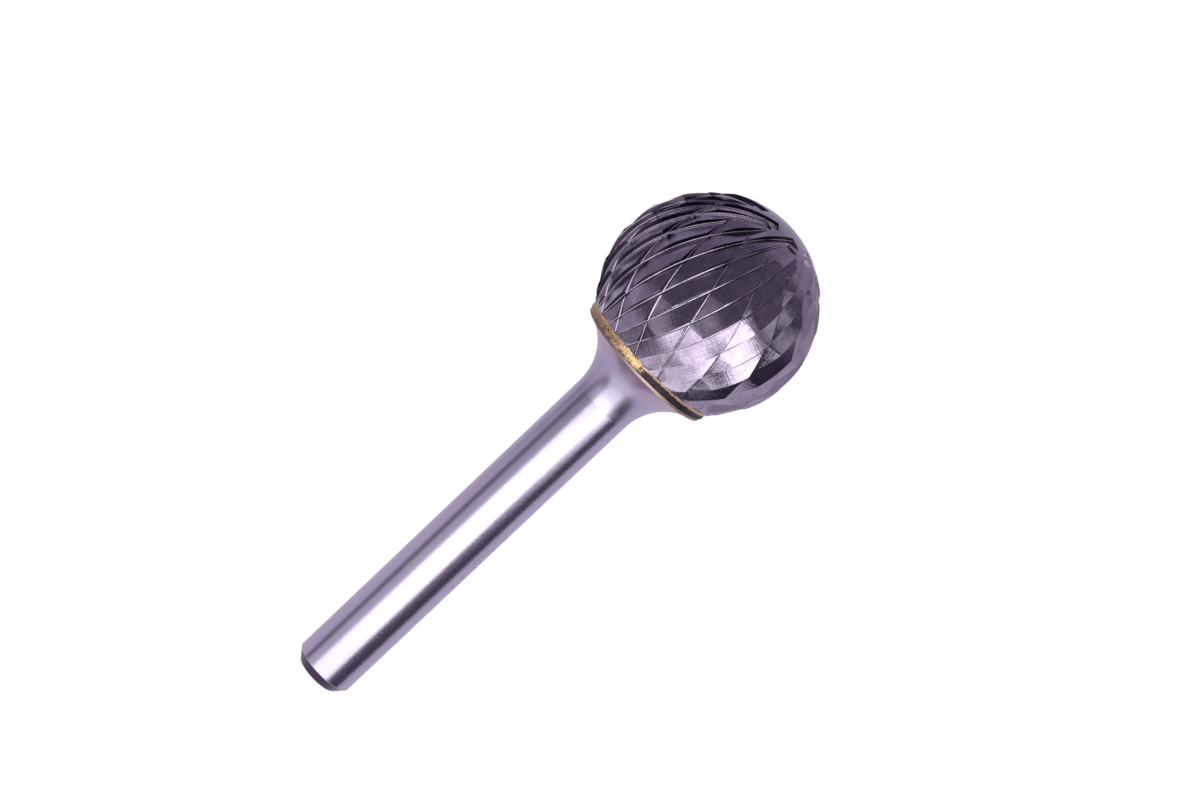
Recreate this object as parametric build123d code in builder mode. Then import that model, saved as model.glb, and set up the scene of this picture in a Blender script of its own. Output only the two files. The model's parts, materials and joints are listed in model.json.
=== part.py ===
"""Ball-shaped carbide burr: a steel shank with a tungsten carbide head brazed to it.

Units are millimetres. The burr lies as it comes to rest on a flat surface, on two cutting edges
of its ball and the bevelled edge of its tail. +Z is up, +X runs from the tail towards the head, and
the lowest edges are at Z = 0. Every piece is round about one sloping burr axis.
"""
import os
from math import acos, asin, atan, cos, degrees, hypot, pi, radians, sin, sqrt, tan

from build123d import *

os.makedirs("parts", exist_ok=True)

# ---- driving dimensions -------------------------------------------------------------------
# steel shank
shank_diameter = 6.0  # a standard collet size
shank_length = 42.6  # tail face to brazed face
tail_chamfer_radial = 0.8
tail_chamfer_axial = 1.0
flare_radius = 5.5  # hollow turning between the shank and the rim
rim_diameter = 14.0
rim_land = 0.25  # straight edge of the rim, next to the braze

# braze
braze_thickness = 0.2
braze_bulge = 0.08  # how far the bead stands out from the land

# carbide head
ball_diameter = 20.3
land_step = 0.1  # the plain round land next to the braze stands out from the rim by this
land_length = 0.36

# main flutes, right-hand: each is one pass of a grinding wheel over the ball
flutes = 32
flute_depth = 0.56
flute_helix = 18.2  # slant at the widest ring of the ball
flute_lean = 7.5  # leans the wheel so that its pass climbs to the tip
flute_rise = 0.20  # how far the pass has risen a quarter turn from its deepest point
flute_phase = -13.8  # turns the teeth so that two cutting edges carry the ball

# crossing chip-breaker flutes, left-hand, one for every second main flute
breakers = 16
breaker_depth = 0.52
breaker_helix = -14.0
breaker_lean = 0.8
breaker_rise = 0.25
breaker_phase = -6.0

# tooth form, the same wheel for both sets
rake_slope = 12.0  # cutting face, from the radial direction
edge_land = 0.06  # strip of the ball's skin that is left along a cutting edge

# where a pass ends, in degrees of the wheel's swing from the widest ring of the ball
tip_swings = (38.0, 50.0, 82.0, 74.0)  # of four neighbours, two stop short of the tip
tip_run_outs = (True, True, False, False)  # a short pass leaves the ball straight on
breaker_tip_swing = 40.0
plain_skirt = 0.5  # ball left unground in front of the land

# ---- worked-out sizes ---------------------------------------------------------------------
shank_radius = shank_diameter / 2
rim_radius = rim_diameter / 2
land_radius = rim_radius + land_step
bead_radius = land_radius + braze_bulge
ball_radius = ball_diameter / 2
tail_edge_radius = shank_radius - tail_chamfer_radial
flare_turn = degrees(acos(1 - (rim_radius - shank_radius) / flare_radius))
flare_start = shank_length - rim_land - flare_radius * sin(radians(flare_turn))
head_start = shank_length + braze_thickness
land_end = head_start + land_length
skirt_turn = degrees(acos(land_radius / ball_radius))
ball_position = land_end + ball_radius * sin(radians(skirt_turn))

# rest: the ball stands on two cutting edges, the shank on the edge of its tail bevel
rest_height = ball_radius * cos(pi / flutes)
rest_reach = ball_position - tail_chamfer_axial
rest_slope = degrees(
    asin(rest_height / hypot(rest_reach, shank_radius)) - atan(shank_radius / rest_reach)
)

# ---- placement ----------------------------------------------------------------------------
along = Vector(cos(radians(rest_slope)), 0, sin(radians(rest_slope)))
upward = Vector(-sin(radians(rest_slope)), 0, cos(radians(rest_slope)))
# the burr's middle, from the top edge of the tail face to the front of the ball, is at X = 0
behind_ball = ball_position * cos(radians(rest_slope)) + tail_edge_radius * sin(radians(rest_slope))
ball_centre = Vector((behind_ball - ball_radius) / 2, 0, rest_height)
tail_centre = ball_centre - along * ball_position

# turning profiles: X is the radius, Y the distance from the tail face
turning_plane = Plane(tail_centre, x_dir=upward, z_dir=(0, 1, 0))
burr_axis = Axis(tail_centre, along)
# the ball seen from its centre: Z towards the tip, X upwards
ball_plane = Plane(ball_centre, x_dir=upward, z_dir=along)


def flute_cutter(count, depth, helix, lean, rise, tip_swing, tip_runs_out):
    """Metal that one pass of the wheel takes out of a ball at the origin, with its tip on Z."""
    pitch = pi * ball_diameter / count * cos(radians(helix))
    rake_width = depth * tan(radians(rake_slope))
    back_width = min(pitch, pi * ball_diameter / flutes * cos(radians(flute_helix)))
    back_width -= rake_width + edge_land
    back_climb = (depth - back_width**2 / ball_diameter) / back_width
    clear = 0.6  # how far the cutter stands out from the ball
    reach = back_width + clear

    # the wheel's section: X across the flute, Y outwards, the ball's skin through its origin
    rake_top = (-(depth + clear) * tan(radians(rake_slope)), clear)
    foot = (0, -depth)
    back_top = (reach, reach * back_climb - depth)

    # the wheel swings about Z, and straight on from the end of its swing where it runs out
    swing_radius = ball_radius * cos(radians(lean)) + rise
    across = (sin(radians(lean)), 0, -cos(radians(lean)))
    section = Plane((swing_radius, 0, 0), x_dir=across, z_dir=(0, -1, 0))
    run_out = degrees(sqrt(2 * depth / ball_radius))
    neck_swing = (skirt_turn - plain_skirt) / cos(radians(helix)) - run_out
    exit_length = ball_radius / 2

    with BuildPart() as cutter:
        with BuildSketch(Plane(Rot(Z=-neck_swing) * section.location)) as neck_end:
            Polygon(rake_top, foot, back_top, (reach, clear), align=None)
        revolve(axis=Axis.Z, revolution_arc=neck_swing + tip_swing)
        extrude(neck_end.sketch, amount=exit_length)
        if tip_runs_out:
            with BuildSketch(Plane(Rot(Z=tip_swing) * section.location)) as tip_end:
                Polygon(rake_top, foot, back_top, (reach, clear), align=None)
            extrude(tip_end.sketch, amount=-exit_length)

    # from the wheel's swing to the ball: the pass crosses the widest ring on +X
    path = Vector(0, sin(radians(helix)), cos(radians(helix)))
    side = Vector(0, cos(radians(helix)), -sin(radians(helix)))
    skin_out = Vector(1, 0, 0)
    swing_axis = side * cos(radians(lean)) - skin_out * sin(radians(lean))
    swing_out = path.cross(swing_axis) * -1
    centre = swing_axis * (-ball_radius * sin(radians(lean))) - swing_out * rise
    return Plane(centre, x_dir=swing_out, z_dir=-swing_axis).location * cutter.part


# ---- shank: turned steel, bevelled at the tail and flared to the rim that carries the head ----
with BuildPart() as shank:
    with BuildSketch(turning_plane):
        with BuildLine():
            Polyline(
                (0, shank_length),
                (0, 0),
                (tail_edge_radius, 0),
                (shank_radius, tail_chamfer_axial),
                (shank_radius, flare_start),
            )
            flare = CenterArc(
                (shank_radius + flare_radius, flare_start), flare_radius, 180, -flare_turn
            )
            Polyline(flare @ 1, (rim_radius, shank_length), (0, shank_length))
        make_face()
    revolve(axis=burr_axis)
shank.part.label = "shank"
export_step(shank.part, "parts/shank.step")

# ---- braze joint: a thin disc of filler metal that bulges out between rim and land ----------
with BuildPart() as braze_joint:
    with BuildSketch(turning_plane):
        with BuildLine():
            Polyline(
                (0, shank_length),
                (rim_radius, shank_length),
                (bead_radius, shank_length + braze_thickness / 2),
                (land_radius, head_start),
                (0, head_start),
                close=True,
            )
        make_face()
    revolve(axis=burr_axis)
braze_joint.part.label = "braze_joint"
export_step(braze_joint.part, "parts/braze_joint.step")

# ---- cutting head: a sintered carbide ball on a short land, with both sets of flutes ground in --
with BuildPart(ball_plane) as cutting_head:
    with BuildSketch(turning_plane):
        with BuildLine():
            Polyline(
                (0, ball_position + ball_radius),
                (0, head_start),
                (land_radius, head_start),
                (land_radius, land_end),
            )
            ThreePointArc(
                (land_radius, land_end),
                (ball_radius, ball_position),
                (0, ball_position + ball_radius),
            )
        make_face()
    revolve(axis=burr_axis)

    for place, (tip_swing, tip_runs_out) in enumerate(zip(tip_swings, tip_run_outs)):
        flute = flute_cutter(
            flutes, flute_depth, flute_helix, flute_lean, flute_rise, tip_swing, tip_runs_out
        )
        first = flute_phase + place * 360 / flutes
        with PolarLocations(0, flutes // len(tip_swings), start_angle=first):
            add(flute, mode=Mode.SUBTRACT)

    breaker = flute_cutter(
        breakers, breaker_depth, breaker_helix, breaker_lean, breaker_rise, breaker_tip_swing, True
    )
    with PolarLocations(0, breakers, start_angle=breaker_phase):
        add(breaker, mode=Mode.SUBTRACT)
cutting_head.part.label = "cutting_head"
export_step(cutting_head.part, "parts/cutting_head.step")
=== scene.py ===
import json
from math import acos, atan2, cos, degrees, pi, radians, sin, sqrt, tan

import bmesh
import bpy
from mathutils import Matrix, Vector, noise


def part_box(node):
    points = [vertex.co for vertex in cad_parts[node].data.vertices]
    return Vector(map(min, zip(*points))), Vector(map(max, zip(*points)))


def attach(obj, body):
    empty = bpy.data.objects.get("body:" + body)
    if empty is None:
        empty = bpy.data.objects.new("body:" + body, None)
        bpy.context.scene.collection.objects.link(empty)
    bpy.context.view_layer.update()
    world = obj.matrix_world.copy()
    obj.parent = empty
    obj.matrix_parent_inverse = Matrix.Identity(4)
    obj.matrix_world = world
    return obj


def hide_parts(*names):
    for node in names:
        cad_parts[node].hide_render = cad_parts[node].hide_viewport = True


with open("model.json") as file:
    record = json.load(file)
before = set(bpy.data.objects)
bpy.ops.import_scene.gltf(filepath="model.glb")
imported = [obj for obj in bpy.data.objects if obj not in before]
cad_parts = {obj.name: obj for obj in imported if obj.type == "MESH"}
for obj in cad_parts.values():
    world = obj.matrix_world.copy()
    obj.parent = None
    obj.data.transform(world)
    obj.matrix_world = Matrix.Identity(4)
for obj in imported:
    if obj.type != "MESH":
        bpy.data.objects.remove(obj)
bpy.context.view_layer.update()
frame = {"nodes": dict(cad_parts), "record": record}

# --- Shank ---------------------------------------------------------------------------------------
# A bar of tool steel, centreless-ground to the collet size, bevelled at its tail and turned out in
# a hollow flare to the rim that carries the head. The heat of brazing has tinted the flare by the
# rim, the rim's edge land has a painted highlight, and the bright ground skin has a few pits. The
# burr lies with its axis sloping up towards the head.
mm = 0.001
tail_bevel = 1.0 * mm
rim_face = 42.6 * mm
ball_radius = 10.15 * mm
main_flutes = 32

collet_mount = frame["record"]["mounts"][0]
along = -Vector(collet_mount["axis"]).normalized()
grip_middle = Vector(collet_mount["pos_m"])
tail_centre = grip_middle - along * (collet_mount["dims"]["length_mm"] * mm / 2 + tail_bevel)
sideways = Vector((0, -1, 0))
upward = sideways.cross(along)
ball_tip_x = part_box("cutting_head")[1][0]
ball_centre = Vector((ball_tip_x - ball_radius, 0, ball_radius * cos(pi / main_flutes)))
burr_turn = Matrix((upward, sideways, along)).transposed()


class Wire:
    """A socket of a node tree that is joined to others by ordinary arithmetic."""

    def __init__(self, tree, socket):
        self.tree = tree
        self.socket = socket

    def node(self, kind, inputs=(), output=0, **settings):
        """Adds a node to this wire's tree, feeds its inputs by name or place, and gives an output."""
        made = self.tree.nodes.new(kind)
        for name, value in settings.items():
            setattr(made, name, value)
        for name, value in dict(inputs).items():
            if isinstance(value, Wire):
                self.tree.links.new(value.socket, made.inputs[name])
            else:
                made.inputs[name].default_value = value
        return Wire(self.tree, made.outputs[output])

    def maths(self, operation, *others):
        return self.node("ShaderNodeMath", enumerate((self, *others)), operation=operation)

    def __add__(self, other):
        return self.maths("ADD", other)

    def __sub__(self, other):
        return self.maths("SUBTRACT", other)

    def __mul__(self, other):
        return self.maths("MULTIPLY", other)

    def __truediv__(self, other):
        return self.maths("DIVIDE", other)

    __radd__ = __add__

    def step(self, start, end, low=0.0, high=1.0):
        """Goes smoothly from low at start to high at end."""
        inputs = {"Value": self, "From Min": start, "From Max": end, "To Min": low, "To Max": high}
        return self.node("ShaderNodeMapRange", inputs, interpolation_type="SMOOTHSTEP")

    def between(self, start, end, soft):
        """Is one from start to end, and fades out over soft on both sides."""
        return self.step(start - soft, start) * self.step(end, end + soft, 1.0, 0.0)

    def parts(self):
        made = self.tree.nodes.new("ShaderNodeSeparateXYZ")
        self.tree.links.new(self.socket, made.inputs[0])
        return [Wire(self.tree, output) for output in made.outputs]

    def joined(self, y, z):
        return self.node("ShaderNodeCombineXYZ", enumerate((self, y, z)))

    def noise(self, scale, detail=2.0, roughness=0.5):
        """Cloudy noise from 0 to 1 over this wire's vector."""
        inputs = {"Vector": self, "Scale": scale, "Detail": detail, "Roughness": roughness}
        return self.node("ShaderNodeTexNoise", inputs)

    def mix(self, first, second):
        """Goes from the first colour to the second as this wire goes from 0 to 1."""
        inputs = {"Factor": self, 6: first, 7: second}  # sockets 6 and 7 take the colours
        return self.node("ShaderNodeMix", inputs, output=2, data_type="RGBA")

    def bump(self, distance):
        """The surface normal over this wire's heights, where a height of one stands for distance."""
        return self.node("ShaderNodeBump", {"Height": self, "Distance": distance, "Strength": 1.0})


def new_finish(name):
    """A material, and the burr's own coordinates in millimetres: X up, Z along the axis from the tail."""
    material = bpy.data.materials.new(name)
    material.use_nodes = True
    tree = material.node_tree
    coordinates = tree.nodes.new("ShaderNodeTexCoord")
    place = Wire(tree, coordinates.outputs["Object"])
    rotation = burr_turn.to_euler()
    inputs = {"Vector": place, "Location": tail_centre, "Rotation": rotation, "Scale": (mm, mm, mm)}
    return material, place.node("ShaderNodeMapping", inputs, vector_type="TEXTURE")


def finish_surface(material, colour, roughness, metallic, normal):
    """Feeds the material's surface shader."""
    shader = material.node_tree.nodes["Principled BSDF"]
    fed = {"Base Color": colour, "Roughness": roughness, "Metallic": metallic, "Normal": normal}
    for name, value in fed.items():
        if isinstance(value, Wire):
            material.node_tree.links.new(value.socket, shader.inputs[name])
        else:
            shader.inputs[name].default_value = value


def round_the_axis(place):
    """The angle round the burr's axis in radians, and the height along it in millimetres."""
    x, y, z = place.parts()
    return y.maths("ARCTAN2", x), z


# Heights of a finish are in millimetres from the tail, and a pair is where it starts and is full.
steel_grey = (0.45, 0.41, 0.53, 1)
steel_pale = (0.51, 0.465, 0.59, 1)
heat_tint = (0.42, 0.30, 0.33, 1)
# The rim's cream is a painted highlight on its edge land.
rim_painted_highlight = (0.40, 0.29, 0.24, 1)
# The bevel's near-black is painted shade.
bevel_painted_shade = (0.07, 0.045, 0.09, 1)
pit_grey = (0.16, 0.13, 0.18, 1)
bevel_heights = 0.90, 0.96
flare_heights = 36.6, 37.4
tint_heights = 40.6, 42.2
rim_heights = 42.3, 42.36
pitted_heights = 16.0, 22.0
pitted_turn, pitted_half_widths = 1.12, (0.16, 0.30)
pit_spacing = 1 / 3.6
rings_per_mm = 34.0 / (2 * pi)
scratch_depth = 0.002 * mm

steel, place = new_finish("ground_steel")
turn, height = round_the_axis(place)
x, y, z = place.parts()
grind = (x * 2.5).joined(y * 2.5, z * 6.0).noise(1.0, 4.0, 0.65)
flare = height.step(*flare_heights)
even_rings = (height * (2 * pi * rings_per_mm)).maths("SINE") * 0.5
rings = even_rings + (x * 0.4).joined(y * 0.4, z * 9.0).noise(1.0, 3.0, 0.7)
tint = height.step(*tint_heights) * (place.noise(0.9, 3.0) + 0.25)
rim = height.step(*rim_heights)
cloud = place.noise(0.35, 4.0, 0.6)
from_patch = (turn - pitted_turn).maths("ABSOLUTE")
patch = height.between(*pitted_heights, 2.0) * from_patch.step(*pitted_half_widths, 1.0, 0.0)
cells = place.node("ShaderNodeTexVoronoi", {"Vector": place, "Scale": 1 / pit_spacing, "Randomness": 1.0})
stray = place.noise(1.7, 1.0).step(0.66, 0.74)
pitted = (patch * place.noise(2.3, 1.0).step(0.42, 0.55) + stray * 0.25).maths("MINIMUM", 1.0)
pits = cells.step(0.19, 0.29, 1.0, 0.0) * pitted
shade = cloud.mix(steel_grey, steel_pale)
# The rim's edge land is painted cream as a painted highlight.
shade = rim.mix(tint.maths("MINIMUM", 1.0).mix(shade, heat_tint), rim_painted_highlight)
shade = pits.mix(shade, pit_grey)
# The tail bevel and end face are painted near-black as painted shade.
shade = height.step(*bevel_heights, 1.0, 0.0).mix(shade, bevel_painted_shade)
roughness = 0.2 + grind * 0.1 + flare * 0.05 + pits * 0.3 + rim * 0.2
relief = grind * 2.5 + rings * flare * 0.8 - pits * 6.0
finish_surface(steel, shade, roughness, 1.0, relief.bump(scratch_depth))

shank = frame["nodes"]["shank"]
shank.data.materials.clear()
shank.data.materials.append(steel)

# --- Braze joint ---------------------------------------------------------------------------------
# Silver-brass filler drawn into the joint by heat. It shows as a gold-brown line between the rim
# and the head, and it has crept over the head's land in a ragged skin with burnt flux on it.
land_radius = 7.1 * mm
land_start = 42.8 * mm
ball_start = 43.16 * mm
ball_from_tail = ball_start + sqrt(ball_radius**2 - land_radius**2)

# How far the skin reaches past its lap in millimetres, and over which turns in degrees.
skin_rows, skin_columns = 18, 900
skin_lap = 0.17 * mm
skin_ragged = 0.13 * mm
skin_seat = 0.03 * mm
seam_turn, seam_reach, seam_half_turn = 4.0, 0.16, 9
charred_turn, charred_reach, charred_half_turn = 51.0, 0.10, 38
broad_turn, broad_reach, broad_half_turn = 6.0, 0.18, 130
broad_seam_fade, broad_end_fade = 14, 20
skin_thickness, skin_lumps = 0.035, 0.03
foot_taper, edge_taper = 7, 5
ragged_scale, lump_scale, lump_height_scale = 5.0, 22, 3
fractal_fineness, fractal_steps = 0.6, 2.0

# Its finish, with turns in radians and heights in millimetres.
braze_gold = (0.47, 0.30, 0.18, 1)
braze_pale = (0.66, 0.44, 0.27, 1)
braze_bright = (0.92, 0.66, 0.34, 1)
flux_brown = (0.13, 0.065, 0.05, 1)
flux_violet = (0.022, 0.013, 0.022, 1)
charred_start, charred_end = (-0.16, -0.02), (1.45, 1.75)
charred_top = 43.20, 43.27
fresh_turns = -0.42, -0.06
fresh_foot = 42.85, 42.95
rim_line_heights = 42.62, 42.70
lump_depth = 0.05 * mm


def lathe(name, profile_at, steps):
    """A closed mesh about Z; profile_at(turn) gives its (radius, height) points from axis to axis."""
    columns = [profile_at(2 * pi * step / steps) for step in range(steps)]
    rows = len(columns[0]) - 2
    points = [(0, 0, columns[0][0][1]), (0, 0, columns[0][-1][1])]
    for step, column in enumerate(columns):
        turn = 2 * pi * step / steps
        points += [(radius * cos(turn), radius * sin(turn), height) for radius, height in column[1:-1]]
    faces = []
    for step in range(steps):
        here, after = 2 + step * rows, 2 + (step + 1) % steps * rows
        faces.append((0, after, here))
        for row in range(rows - 1):
            faces.append((here + row, after + row, after + row + 1, here + row + 1))
        faces.append((1, here + rows - 1, after + rows - 1))
    mesh = bpy.data.meshes.new(name)
    mesh.from_pydata(points, [], faces)
    mesh.shade_smooth()
    made = bpy.data.objects.new(name, mesh)
    bpy.context.collection.objects.link(made)
    return made


def degrees_from(turn, middle):
    """Degrees from the middle to the turn, the shorter way round the burr."""
    return (degrees(turn) - middle + 180) % 360 - 180


def crept_profile(turn):
    """The filler's skin from the rim up over the land, and back down under it."""
    from_seam = abs(degrees_from(turn, seam_turn))
    from_charred = abs(degrees_from(turn, charred_turn))
    from_broad = abs(degrees_from(turn, broad_turn))
    tongue = seam_reach * max(0.0, 1 - from_seam / seam_half_turn)
    tongue += charred_reach * max(0.0, 1 - from_charred / charred_half_turn)
    broad = broad_reach * min(1.0, from_seam / broad_seam_fade)
    broad *= min(1.0, max(0.0, broad_half_turn - from_broad) / broad_end_fade)
    spot = Vector((cos(turn), sin(turn), 0.3)) * ragged_scale
    ragged = noise.fractal(spot, fractal_fineness, fractal_steps, 5)
    end = ball_start + skin_lap + (tongue + broad) * mm + skin_ragged * ragged
    column = [(0, rim_face)]
    for row in range(skin_rows):
        part = row / (skin_rows - 1)
        height = rim_face + (end - rim_face) * part
        seat = sqrt(ball_radius**2 - (ball_from_tail - max(height, ball_start)) ** 2)
        spot = Vector((cos(turn) * lump_scale, sin(turn) * lump_scale, height / mm * lump_height_scale))
        lump = noise.fractal(spot, fractal_fineness, fractal_steps, 4)
        taper = min(1.0, part * foot_taper), min(1.0, (1 - part) * edge_taper)
        swell = (skin_thickness + skin_lumps * lump) * mm * taper[0] * taper[1]
        column.append((seat + swell, height))
    foot, edge = column[1], column[-1]
    column[1] = (foot[0] - 2 * skin_seat, foot[1])
    column[-1] = (edge[0] - skin_seat, edge[1])
    under = land_radius - skin_seat
    column += [(under, ball_start), (under, land_start), (0, land_start)]
    return column


braze_joint = lathe("braze_skin", crept_profile, skin_columns)

filler, place = new_finish("braze_filler")
turn, height = round_the_axis(place)
lumps = place.noise(2.6, 4.0, 0.65)
grains = place.noise(7.0, 3.0, 0.7)
side = turn + (lumps - 0.5) * 0.25
charred_side = side.step(*charred_start) * side.step(*charred_end, 1.0, 0.0)
band_edge = height + (lumps - 0.5) * 0.5 + (grains - 0.5) * 0.25
charred = charred_side * band_edge.step(*charred_top, 1.0, 0.0)
specks = (lumps * 0.7 + grains * 0.5).step(0.64, 0.72) * 0.85
rim_line = (height + (grains - 0.5) * 0.3).between(*rim_line_heights, 0.05)
rim_line = rim_line * place.noise(1.6, 2.0).step(0.45, 0.55)
burnt = specks.maths("MAXIMUM", rim_line)
fresh = side.between(*fresh_turns, 0.1) * band_edge.step(*fresh_foot)
gold = grains.step(0.35, 0.65).mix(braze_gold, braze_pale)
gold = fresh.mix(gold, braze_bright)
gold = burnt.mix(gold, flux_brown)
relief = lumps + grains * 0.6
metallic = charred.step(0.0, 1.0, 0.75, 0.6)
finish_surface(filler, charred.mix(gold, flux_violet), 0.42 + burnt * 0.2, metallic, relief.bump(lump_depth))
braze_joint.data.materials.append(filler)
braze_joint.data.transform(Matrix.Translation(tail_centre) @ burr_turn.to_4x4())
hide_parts("braze_joint")
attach(braze_joint, "root")

# --- Cutting head --------------------------------------------------------------------------------
# A sintered tungsten carbide ball. A profiled diamond wheel grinds one flute with each pass: steep
# cutting face, small rounded gullet and long back. Right-hand main flutes come first, then half
# as many left-hand chip-breaker flutes. All passes fade out at the land by the neck.
ball = ball_radius / mm
skirt_turn = acos(land_radius / ball_radius)
blank_rows, blank_columns = 58, 160
crease = radians(11.5)
gullet_width, facet_seed = 0.15, 4

# Lengths of a pass are in millimetres, and its helix, lean, first turn and tip swings in degrees.
# It cuts along an arc, straight in at the neck and, where it runs out, straight on past the tip.
main_pass = {"flutes": main_flutes, "depth": 0.56, "helix": 18.2, "lean": 7.5, "rise": 0.20, "first": -13.8}
breaker_pass = {"flutes": 16, "depth": 0.52, "helix": -14.0, "lean": 0.8, "rise": 0.25, "first": -6.0}
tip_swings = (38.0, 50.0, 82.0, 74.0)
tip_run_outs = (True, True, False, False)
breaker_tip_swing = 40.0
rake_slope = radians(12)
edge_land = 0.06
gullet_radius, gullet_steps = 0.07, 9
wheel_clearance = 0.6
land_overrun = radians(1.0)
straight_run = ball / 2
degrees_per_station = 2


def wheel_section(flutes, depth, helix):
    """The wheel's outline across a flute: X over the back, Y out of the ball, in millimetres."""
    pitch = 2 * pi * ball / flutes * cos(helix)
    tooth = 2 * pi * ball / main_flutes * cos(radians(main_pass["helix"]))
    back_width = min(pitch, tooth) - depth * tan(rake_slope) - edge_land
    back_climb = (depth - back_width**2 / (2 * ball)) / back_width
    reach = back_width + wheel_clearance
    face_way = Vector((-sin(rake_slope), cos(rake_slope)))
    back_way = Vector((1, back_climb)).normalized()
    half = face_way.angle(back_way) / 2
    centre = Vector((0, -depth)) + (face_way + back_way).normalized() * gullet_radius / sin(half)
    start = atan2(-sin(rake_slope), -cos(rake_slope))
    sweep = pi - 2 * half
    outline = [Vector((-(depth + wheel_clearance) * tan(rake_slope), wheel_clearance))]
    for step in range(gullet_steps + 1):
        swing = start + sweep * step / gullet_steps
        outline.append(centre + gullet_radius * Vector((cos(swing), sin(swing))))
    outline += [Vector((reach, reach * back_climb - depth)), Vector((reach, wheel_clearance))]
    return outline


def wheel_pass(name, tip_swing, runs_out, flutes, depth, helix, lean, rise, first):
    """The metal that one pass takes out of a ball at the origin with its tip on Z, as an object."""
    helix, lean = radians(helix), radians(lean)
    outline = wheel_section(flutes, depth, helix)
    swing_radius = ball * cos(lean) + rise
    neck_swing = (skirt_turn + land_overrun) / cos(helix) - sqrt(2 * depth / ball)
    tip_swing = radians(tip_swing)
    steps = int(degrees(neck_swing + tip_swing) / degrees_per_station)
    stations = [(-neck_swing, -straight_run)]
    stations += [(-neck_swing + (neck_swing + tip_swing) * step / steps, 0) for step in range(steps + 1)]
    if runs_out:
        stations.append((tip_swing, straight_run))

    path = Vector((0, sin(helix), cos(helix)))
    side = Vector((0, cos(helix), -sin(helix)))
    swing_axis = side * cos(lean) - Vector((sin(lean), 0, 0))
    swing_out = swing_axis.cross(path)
    centre = swing_axis * (-ball * sin(lean)) - swing_out * rise
    onward = swing_out.cross(swing_axis)
    points = []
    for swing, run in stations:
        outwards = swing_out * cos(swing) + onward * sin(swing)
        forwards = onward * cos(swing) - swing_out * sin(swing)
        across = swing_axis * cos(lean) + outwards * sin(lean)
        rim = centre + outwards * swing_radius + forwards * run
        points += [(rim + across * p.x + outwards * p.y) * mm for p in outline]

    ring = len(outline)
    faces = []
    for row in range(len(stations) - 1):
        for place in range(ring):
            after = (place + 1) % ring
            low, high = row * ring, (row + 1) * ring
            faces.append((low + place, low + after, high + after, high + place))
    faces.append(tuple(range(ring)))
    faces.append(tuple(range(len(points) - ring, len(points))))
    mesh = bpy.data.meshes.new(name)
    mesh.from_pydata(points, [], faces)
    shape = bmesh.new()
    shape.from_mesh(mesh)
    bmesh.ops.recalc_face_normals(shape, faces=shape.faces)
    grain = shape.loops.layers.uv.new("grind")
    for face in shape.faces:
        for loop in face.loops:
            row, place = divmod(loop.vert.index, ring)
            loop[grain].uv = (stations[row][0] * ball + stations[row][1], outline[place].x)
    shape.to_mesh(mesh)
    shape.free()
    tool = bpy.data.objects.new(name, mesh)
    bpy.context.collection.objects.link(tool)
    return tool


land_height = -ball_radius * sin(skirt_turn)
foot_height = land_height - (ball_start - land_start)
blank_profile = [(0, foot_height), (land_radius, foot_height)]
for step in range(blank_rows):
    rise_turn = -skirt_turn + (pi / 2 + skirt_turn) * step / (blank_rows - 1)
    blank_profile.append((ball_radius * cos(rise_turn), ball_radius * sin(rise_turn)))
blank_profile[-1] = (0, ball_radius)
cutting_head = lathe("carbide_head", lambda turn: blank_profile, blank_columns)

grinding = bpy.data.node_groups.new("grind_flutes", "GeometryNodeTree")
for name, kind in (
    ("Blank", "NodeSocketGeometry"), ("Wheel pass", "NodeSocketObject"),
    ("Flutes", "NodeSocketInt"), ("First turn", "NodeSocketFloat"),
    ("Crease", "NodeSocketFloat"), ("Gullet width", "NodeSocketFloat"),
    ("Seed", "NodeSocketInt"), ("Finish", "NodeSocketMaterial"),
):
    grinding.interface.new_socket(name, in_out="INPUT", socket_type=kind)
grinding.interface.new_socket("Ground", in_out="OUTPUT", socket_type="NodeSocketGeometry")
group_in = grinding.nodes.new("NodeGroupInput")
group_out = grinding.nodes.new("NodeGroupOutput")
given = {socket.name: Wire(grinding, socket) for socket in group_in.outputs if socket.name}
flutes = given["Flutes"]
tool = flutes.node("GeometryNodeObjectInfo", {"Object": given["Wheel pass"]}, output="Geometry")
number = flutes.node("GeometryNodeInputIndex")
turn = number / flutes * (2 * pi) + given["First turn"]
rotation = turn.node("ShaderNodeCombineXYZ", {"Z": turn})
spots = flutes.node("GeometryNodePoints", {"Count": flutes})
inputs = {"Points": spots, "Instance": tool, "Rotation": rotation}
passes = spots.node("GeometryNodeInstanceOnPoints", inputs)
passes = passes.node("GeometryNodeRealizeInstances", {"Geometry": passes})
inputs = {"Mesh 1": given["Blank"], "Mesh 2": passes}
ground = passes.node("GeometryNodeMeshBoolean", inputs, operation="DIFFERENCE", solver="MANIFOLD")
inputs = {"Geometry": ground, "Shade Smooth": True}
ground = ground.node("GeometryNodeSetShadeSmooth", inputs, domain="FACE")
inputs = {"A": ground.node("GeometryNodeInputMeshEdgeAngle"), "B": given["Crease"]}
blunt = ground.node("FunctionNodeCompare", inputs, data_type="FLOAT", operation="LESS_THAN")
inputs = {"Geometry": ground, "Shade Smooth": blunt}
ground = ground.node("GeometryNodeSetShadeSmooth", inputs, domain="EDGE")

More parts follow.
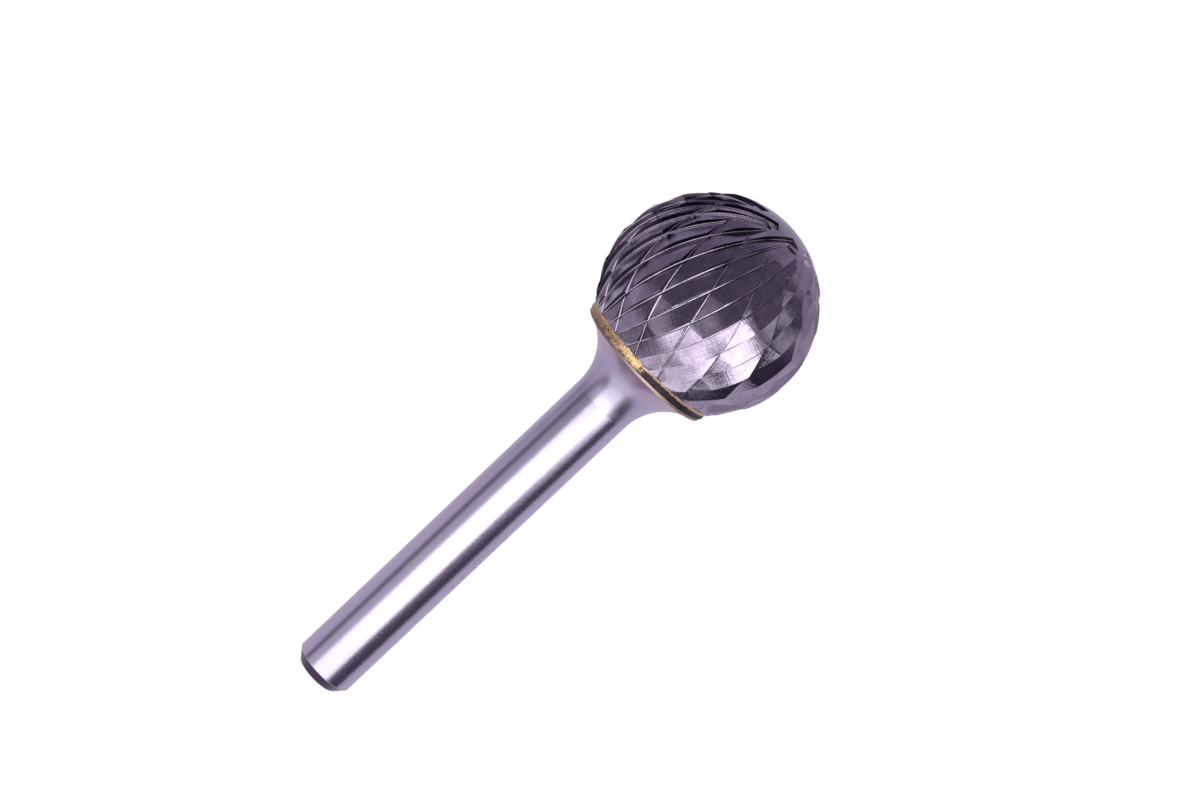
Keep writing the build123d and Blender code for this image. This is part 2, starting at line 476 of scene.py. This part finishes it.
# No two facets lie quite alike. A facet is a piece of a back that ends at creases and gullets.
grind = ground.node("GeometryNodeInputNamedAttribute", {"Name": "grind"}, data_type="FLOAT_VECTOR")
inputs = {"A": grind.parts()[1], "B": given["Gullet width"]}
gullet = grind.node("FunctionNodeCompare", inputs, data_type="FLOAT", operation="LESS_THAN")
gullet = gullet.node("GeometryNodeFieldOnDomain", {"Value": gullet}, data_type="BOOLEAN", domain="FACE")
gullet = gullet.node("GeometryNodeFieldOnDomain", {"Value": gullet}, data_type="BOOLEAN", domain="EDGE")
sharp = blunt.node("FunctionNodeBooleanMath", {0: blunt}, operation="NOT")
parted = sharp.node("FunctionNodeBooleanMath", {0: sharp, 1: gullet}, operation="OR")
pieces = ground.node("GeometryNodeSplitEdges", {"Mesh": ground, "Selection": parted})
island = pieces.node("GeometryNodeInputMeshIsland", output="Island Index")
inputs = {"Geometry": pieces, "Value": island, "Index": pieces.node("GeometryNodeInputIndex")}
facet = pieces.node("GeometryNodeSampleIndex", inputs, data_type="INT", domain="FACE")
inputs = {"Min": (-1, -1, -1), "Max": (1, 1, 1), "ID": facet, "Seed": given["Seed"]}
lie = facet.node("FunctionNodeRandomValue", inputs, data_type="FLOAT_VECTOR")
inputs = {"Geometry": ground, "Name": "facet_lie", "Value": lie}
ground = ground.node("GeometryNodeStoreNamedAttribute", inputs, data_type="FLOAT_VECTOR", domain="FACE")
ground = ground.node("GeometryNodeRealizeInstances", {"Geometry": ground})
ground = ground.node("GeometryNodeSetMaterial", {"Geometry": ground, "Material": given["Finish"]})
grinding.links.new(ground.socket, group_out.inputs[0])
sockets = {item.name: item.identifier for item in grinding.interface.items_tree if item.in_out == "INPUT"}

# Places across a flute run from minus on the cutting face to plus on the back, in millimetres.
# The black is painted shade, on the cutting faces and on the backs just past the gullets.
carbide_painted_shade = (0.045, 0.035, 0.055, 1)
carbide_dark = (0.24, 0.20, 0.27, 1)
carbide_pale = (0.42, 0.37, 0.46, 1)
# The palest carbide colour is a painted highlight along the gullets.
gullet_painted_highlight = (0.62, 0.56, 0.66, 1)
face_top, face_foot = (-0.112, -0.098), (-0.035, -0.01)
gullet_highlight_strip = 0.02, 0.06
# This strip of the back, past the gullet, gets a painted shadow.
back_shadow_strip = 0.08, 0.14
back_start = 0.10, 0.14
wheel_scratch = 0.010 * mm

carbide, place = new_finish("ground_carbide")
x, y, z = place.parts()
swing, across, _ = place.node("ShaderNodeUVMap", uv_map="grind").parts()
lines = (swing * 0.35).joined(across * 9.0, 0.0).noise(1.0, 4.0, 0.7)
chatter = (swing * 6.5).joined(across * 0.7, 3.0).noise(1.0, 3.0, 0.6)
blotch = place.noise(0.8, 3.0, 0.6)
back = across.step(*back_start)
lie_x, lie_y, lie_z = place.node("ShaderNodeAttribute", attribute_name="facet_lie", output="Vector").parts()
tilt = (x * lie_x + y * lie_y + z * lie_z) * back
tone = blotch * 0.35 + lines * 0.4 + chatter * 0.25 + lie_x * back * 0.09
shade = tone.step(0.36, 0.64).mix(carbide_dark, carbide_pale)
# The cutting faces are painted black as painted shade.
cutting_face = across.step(*face_foot, 1.0, 0.0) * across.step(*face_top)
# A painted highlight, in patches, runs along each rounded gullet.
gullet_highlight = across.between(*gullet_highlight_strip, 0.02) * place.noise(1.3, 2.0).step(0.30, 0.55, 0.35, 1.0)
# A painted shadow, in patches, lies on each back just past its gullet.
back_painted_shadow = across.between(*back_shadow_strip, 0.05) * place.noise(0.6, 2.0).step(0.35, 0.6, 0.2, 0.85)
shade = cutting_face.maths("MAXIMUM", back_painted_shadow).mix(shade, carbide_painted_shade)
shade = gullet_highlight.mix(shade, gullet_painted_highlight)
relief = lines * 0.8 + chatter * 1.7 + tilt * 7.5
finish_surface(carbide, shade, 0.06 + lines * 0.11, 1.0, relief.bump(wheel_scratch))

wheels = []
for step, (tip, runs_out) in enumerate(zip(tip_swings, tip_run_outs)):
    wheel = wheel_pass("main_wheel_%d" % step, tip, runs_out, **main_pass)
    wheels.append((wheel, main_flutes // len(tip_swings), main_pass["first"] + step * 360 / main_flutes))
wheel = wheel_pass("breaker_wheel", breaker_tip_swing, True, **breaker_pass)
wheels.append((wheel, breaker_pass["flutes"], breaker_pass["first"]))
for wheel, flutes, first in wheels:
    cut = cutting_head.modifiers.new(wheel.name, "NODES")
    cut.node_group = grinding
    cut[sockets["Wheel pass"]] = wheel
    cut[sockets["Flutes"]] = flutes
    cut[sockets["First turn"]] = radians(first)
    cut[sockets["Crease"]] = crease
    cut[sockets["Gullet width"]] = gullet_width
    cut[sockets["Seed"]] = facet_seed
    cut[sockets["Finish"]] = carbide
ready = bpy.context.evaluated_depsgraph_get()
ground_mesh = bpy.data.meshes.new_from_object(cutting_head.evaluated_get(ready))
cutting_head.modifiers.clear()
cutting_head.data = ground_mesh
for wheel, _, _ in wheels:
    bpy.data.objects.remove(wheel)
ground_mesh.transform(Matrix.Translation(ball_centre) @ burr_turn.to_4x4())
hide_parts("cutting_head")
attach(cutting_head, "root")

# --- Studio --------------------------------------------------------------------------------------
# Not part of the burr: a white table, soft boxes overhead and beside it, and darker walls. Bright
# metal mirrors the table near the burr, and a greyer table farther off.
table_reach = 0.6
table_shine, table_strength = 0.95, 1.04
table_white = (0.93, 0.92, 0.95, 1)
mirrored_near = (0.70, 0.64, 0.76, 1)
mirrored_far = (0.24, 0.20, 0.28, 1)
wall_grey = (0.19, 0.16, 0.22, 1)
wall_dark = (0.055, 0.042, 0.075, 1)
pure_white = (1, 1, 1, 1)

# Where the mirrored table starts to turn grey and is grey, in metres along Y or X.
beside_burr, along_shank, past_neck = (0.006, 0.034), (-0.015, 0.01), (0.0, 0.06)
near_share_past_neck = 0.35
# Where a wall starts to darken and is dark, as the cosine of the angle from its middle.
dark_side, dark_tail_end = (0.35, 0.7), (0.75, 0.95)

table = bpy.data.meshes.new("table")
corners = [(-1, -1), (1, -1), (1, 1), (-1, 1)]
table.from_pydata([(x * table_reach, y * table_reach, 0) for x, y in corners], [], [(0, 1, 2, 3)])
table_top = bpy.data.objects.new("table", table)
bpy.context.collection.objects.link(table_top)
white = bpy.data.materials.new("white_table")
white.use_nodes = True
tree = white.node_tree
shader = tree.nodes["Principled BSDF"]
shader.inputs["Base Color"].default_value = table_white
shader.inputs["Roughness"].default_value = 0.9
shader.inputs["Specular IOR Level"].default_value = 0.0
rays = tree.nodes.new("ShaderNodeLightPath")
camera_ray = Wire(tree, rays.outputs["Is Camera Ray"])
glossy_ray = Wire(tree, rays.outputs["Is Glossy Ray"])
transmission_ray = Wire(tree, rays.outputs["Is Transmission Ray"])
glow = tree.nodes.new("ShaderNodeEmission")
glow.inputs["Strength"].default_value = table_strength
blend = tree.nodes.new("ShaderNodeMixShader")
seen = camera_ray.maths("MAXIMUM", glossy_ray).maths("MAXIMUM", transmission_ray) * table_shine
x, y, _ = Wire(tree, tree.nodes.new("ShaderNodeTexCoord").outputs["Object"]).parts()
near_burr = y.step(*beside_burr, 1.0, 0.0).maths("MAXIMUM", x.step(*along_shank, 1.0, 0.0))
near_burr = near_burr * x.step(*past_neck, 1.0, near_share_past_neck)
mirrored = near_burr.mix(mirrored_far, mirrored_near)
tree.links.new(glossy_ray.mix(pure_white, mirrored).socket, glow.inputs["Color"])
tree.links.new(seen.socket, blend.inputs[0])
tree.links.new(shader.outputs[0], blend.inputs[1])
tree.links.new(glow.outputs[0], blend.inputs[2])
tree.links.new(blend.outputs[0], tree.nodes["Material Output"].inputs[0])
table.materials.append(white)

world = bpy.data.worlds.new("studio")
bpy.context.scene.world = world
world.use_nodes = True
sky = world.node_tree
direction = Wire(sky, sky.nodes.new("ShaderNodeTexCoord").outputs["Generated"])
beside, tailward = (
    direction.node("ShaderNodeVectorMath", {0: direction, 1: way}, operation="DOT_PRODUCT", output="Value")
    for way in (sideways, -along)
)
shade = beside.step(*dark_side).maths("MAXIMUM", tailward.step(*dark_tail_end))
wall = shade.mix(wall_grey, wall_dark)
seen_directly = Wire(sky, sky.nodes.new("ShaderNodeLightPath").outputs["Is Camera Ray"])
sky.links.new(seen_directly.mix(wall, pure_white).socket, sky.nodes["Background"].inputs["Color"])


def soft_box(name, height_up, past_tail, aside, width, length, radiance, aim=None):
    """A lamp in millimetres from the tail, that faces straight down or the point aim on the axis."""
    light = bpy.data.lights.new(name, "AREA")
    light.shape = "RECTANGLE"
    light.size = width * mm
    light.size_y = length * mm
    light.energy = radiance * pi * width * mm * length * mm
    made = bpy.data.objects.new(name, light)
    bpy.context.collection.objects.link(made)
    place = tail_centre + (along * past_tail + sideways * aside + upward * height_up) * mm
    face = upward if aim is None else (place - tail_centre - along * aim * mm).normalized()
    across = face.cross(along).normalized()
    turned = Matrix((across, face.cross(across), face)).transposed().to_4x4()
    made.matrix_world = Matrix.Translation(place) @ turned
    made.visible_camera = False


# Height over the axis, place along it from the tail, place aside, width, length, radiance and aim.
soft_box("over_shank", 110, -7, -3, 142, 50, 2.5)
soft_box("over_tail", 110, -84, -4, 160, 106, 1.35)
soft_box("beside_head", 110, 52, 73, 156, 88, 2.9)
soft_box("spill", 112, 45, -28, 46, 84, 0.4)
soft_box("fill_card", 105, -52, -124, 116, 114, 0.55, -52)
soft_box("tail_card", 50, -100, -5, 130, 84, 0.9, 45)
soft_box("past_tip", 67, 148, 91, 80, 70, 0.55, 50)

# --- Camera --------------------------------------------------------------------------------------
# A close-up lens looks down on the burr from a third of a metre. Its focal length is in pixels of
# the finished picture.
camera_lean, camera_tilt, camera_roll = radians(5.754), radians(10.588), radians(43.465)
focal_pixels, picture_width = 3554.1, 1200
camera_distance = 320.59 * mm
camera_right, camera_up = -9.764 * mm, -8.706 * mm
leaning = upward * cos(camera_lean) - sideways * sin(camera_lean)
towards = leaning * cos(camera_tilt) + along * sin(camera_tilt)
axis_seen = (along - towards * along.dot(towards)).normalized()
axis_left = towards.cross(axis_seen)
right = axis_seen * cos(camera_roll) - axis_left * sin(camera_roll)
top = axis_seen * sin(camera_roll) + axis_left * cos(camera_roll)
camera = bpy.data.objects.new("camera", bpy.data.cameras.new("camera"))
bpy.context.collection.objects.link(camera)
camera.data.sensor_width = 36
camera.data.lens = focal_pixels / picture_width * camera.data.sensor_width
camera.data.clip_start = 0.01
camera.data.clip_end = 10
turned = Matrix((right, top, towards)).transposed().to_4x4()
camera_place = ball_centre + towards * camera_distance + right * camera_right + top * camera_up
camera.matrix_world = Matrix.Translation(camera_place) @ turned
bpy.context.scene.camera = camera

bpy.context.scene.view_settings.view_transform = "Standard"
